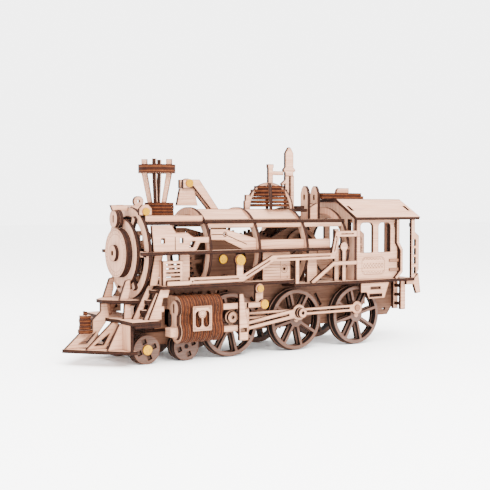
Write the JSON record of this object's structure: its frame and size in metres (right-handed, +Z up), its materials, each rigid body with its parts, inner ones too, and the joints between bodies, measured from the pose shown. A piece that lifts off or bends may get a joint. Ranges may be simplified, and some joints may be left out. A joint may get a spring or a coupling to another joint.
{
  "type": "wooden steam locomotive puzzle model",
  "caption": "Laser-cut plywood steam locomotive kit with turning wheels, side rods, an inner spring-driven gear train and a swinging bell, standing free.",
  "frame": {"origin": "on the ground under the middle of the model", "axes": "+X towards the cab, +Z up, the smokebox faces -X"},
  "size_m": [0.37, 0.1032, 0.1919],
  "materials": {
    "birch_ply": "matt sanded birch plywood with laser-browned edges",
    "charred_ply": "stacked plywood showing its laser-browned edges",
    "rod_ply": "matt sanded birch plywood",
    "brass": "satin brass"
  },
  "bodies": {
    "chassis": {"main_frames": "birch_ply", "cross_members": "birch_ply", "gearbox_plates": "birch_ply", "bogie_frames": "birch_ply", "pilot_base": "birch_ply", "pilot_fins": "birch_ply", "pilot_deck": "birch_ply", "coupler_barrel": "charred_ply", "front_platform": "birch_ply", "front_ladders": "birch_ply", "smokebox_ring": "birch_ply", "door_rings": "birch_ply", "smokebox_door": "birch_ply", "headlight": "birch_ply", "lamp_bracket": "birch_ply", "boiler_hoops": "birch_ply", "boiler_rails": "birch_ply", "boiler_panels": "birch_ply", "smokebox_panels": "birch_ply", "lever_plates": "birch_ply", "chimney_base": "charred_ply", "chimney_ribs": "birch_ply", "chimney_crown": "charred_ply", "bell_bracket": "birch_ply", "dome_discs": "charred_ply", "dome_arches": "birch_ply", "whistle_post": "birch_ply", "steam_box": "birch_ply", "running_boards": "birch_ply", "louvre_boxes": "birch_ply", "pipe_plates": "birch_ply", "firebox_panels": "birch_ply", "cab_floor": "birch_ply", "cab_walls": "birch_ply", "cab_front": "birch_ply", "cab_handrails": "birch_ply", "cab_roof": "birch_ply", "roof_hatch": "charred_ply", "cab_steps": "birch_ply", "rear_ladders": "birch_ply", "cylinders": "charred_ply", "cylinder_covers": "birch_ply", "slide_bars": "birch_ply", "screw_caps": "brass"},
    "bell": {"bell": "birch_ply"},
    "front_driving_axle": {"drive_wheels_front": "birch_ply"},
    "middle_driving_axle": {"drive_wheels_middle": "birch_ply"},
    "rear_driving_axle": {"drive_wheels_rear": "birch_ply"},
    "front_bogie_axle": {"bogie_wheels_front": "birch_ply"},
    "rear_bogie_axle": {"bogie_wheels_rear": "birch_ply"},
    "coupling_rod_left": {"coupling_rod_left": "rod_ply"},
    "coupling_rod_right": {"coupling_rod_right": "rod_ply"},
    "main_rod_left": {"main_rod_left": "rod_ply"},
    "main_rod_right": {"main_rod_right": "rod_ply"},
    "crosshead_left": {"crosshead_left": "birch_ply"},
    "crosshead_right": {"crosshead_right": "birch_ply"},
    "spring_barrel": {"spring_barrel": "birch_ply"},
    "transfer_gear": {"transfer_gear": "birch_ply"},
    "centre_gear": {"centre_gear": "birch_ply"},
    "governor": {"governor_wheel": "birch_ply"}
  },
  "joints": [
    {"name": "middle_axle_turn", "type": "hinge", "parent": "chassis", "child": "middle_driving_axle", "pos_m": [0.03225, 0, 0.029], "axis": [0, 1, 0], "continuous": true},
    {"name": "front_axle_turn", "type": "hinge", "parent": "chassis", "child": "front_driving_axle", "pos_m": [-0.04, 0, 0.029], "axis": [0, 1, 0], "continuous": true},
    {"name": "rear_axle_turn", "type": "hinge", "parent": "chassis", "child": "rear_driving_axle", "pos_m": [0.1045, 0, 0.029], "axis": [0, 1, 0], "continuous": true},
    {"name": "front_bogie_turn", "type": "hinge", "parent": "chassis", "child": "front_bogie_axle", "pos_m": [-0.122, 0, 0.0127], "axis": [0, 1, 0], "continuous": true},
    {"name": "rear_bogie_turn", "type": "hinge", "parent": "chassis", "child": "rear_bogie_axle", "pos_m": [-0.0835, 0, 0.0127], "axis": [0, 1, 0], "continuous": true},
    {"name": "coupling_rod_left_pin", "type": "hinge", "parent": "middle_driving_axle", "child": "coupling_rod_left", "pos_m": [0.03044, -0.0384, 0.03628], "axis": [0, 1, 0], "continuous": true},
    {"name": "main_rod_left_pin", "type": "hinge", "parent": "middle_driving_axle", "child": "main_rod_left", "pos_m": [0.03044, -0.0417, 0.03628], "axis": [0, 1, 0], "continuous": true},
    {"name": "coupling_rod_right_pin", "type": "hinge", "parent": "middle_driving_axle", "child": "coupling_rod_right", "pos_m": [0.02497, 0.0384, 0.02719], "axis": [0, 1, 0], "continuous": true},
    {"name": "main_rod_right_pin", "type": "hinge", "parent": "middle_driving_axle", "child": "main_rod_right", "pos_m": [0.02497, 0.0417, 0.02719], "axis": [0, 1, 0], "continuous": true},
    {"name": "transfer_gear_turn", "type": "hinge", "parent": "chassis", "child": "transfer_gear", "pos_m": [0.03611, 0, 0.05572], "axis": [0, 1, 0], "continuous": true},
    {"name": "centre_gear_turn", "type": "hinge", "parent": "chassis", "child": "centre_gear", "pos_m": [0.006, 0, 0.085], "axis": [0, 1, 0], "continuous": true},
    {"name": "spring_barrel_turn", "type": "hinge", "parent": "chassis", "child": "spring_barrel", "pos_m": [-0.03597, 0, 0.08647], "axis": [0, 1, 0], "continuous": true},
    {"name": "governor_turn", "type": "hinge", "parent": "chassis", "child": "governor", "pos_m": [0.05165, 0, 0.09387], "axis": [0, 1, 0], "continuous": true},
    {"name": "crosshead_left_slide", "type": "slide", "parent": "chassis", "child": "crosshead_left", "axis": [1, 0, 0], "range_m": [-0.00569, 0.00931]},
    {"name": "crosshead_right_slide", "type": "slide", "parent": "chassis", "child": "crosshead_right", "axis": [1, 0, 0], "range_m": [-0.00022, 0.01478]},
    {"name": "bell_swing", "type": "hinge", "parent": "chassis", "child": "bell", "pos_m": [-0.0645, 0, 0.1555], "axis": [0, 1, 0], "range_deg": [-10, 10]}
  ],
  "couplings": [
    {"joint": "coupling_rod_left_pin", "follows": "middle_axle_turn", "ratio": -1},
    {"joint": "main_rod_left_pin", "follows": "middle_axle_turn", "ratio": -1},
    {"joint": "coupling_rod_right_pin", "follows": "middle_axle_turn", "ratio": -1},
    {"joint": "main_rod_right_pin", "follows": "middle_axle_turn", "ratio": -1},
    {"joint": "front_axle_turn", "follows": "middle_axle_turn", "ratio": 1},
    {"joint": "rear_axle_turn", "follows": "middle_axle_turn", "ratio": 1},
    {"joint": "transfer_gear_turn", "follows": "middle_axle_turn", "ratio": -0.8},
    {"joint": "centre_gear_turn", "follows": "middle_axle_turn", "ratio": 0.44444},
    {"joint": "spring_barrel_turn", "follows": "middle_axle_turn", "ratio": -0.17778},
    {"joint": "governor_turn", "follows": "middle_axle_turn", "ratio": -0.61538}
  ]
}
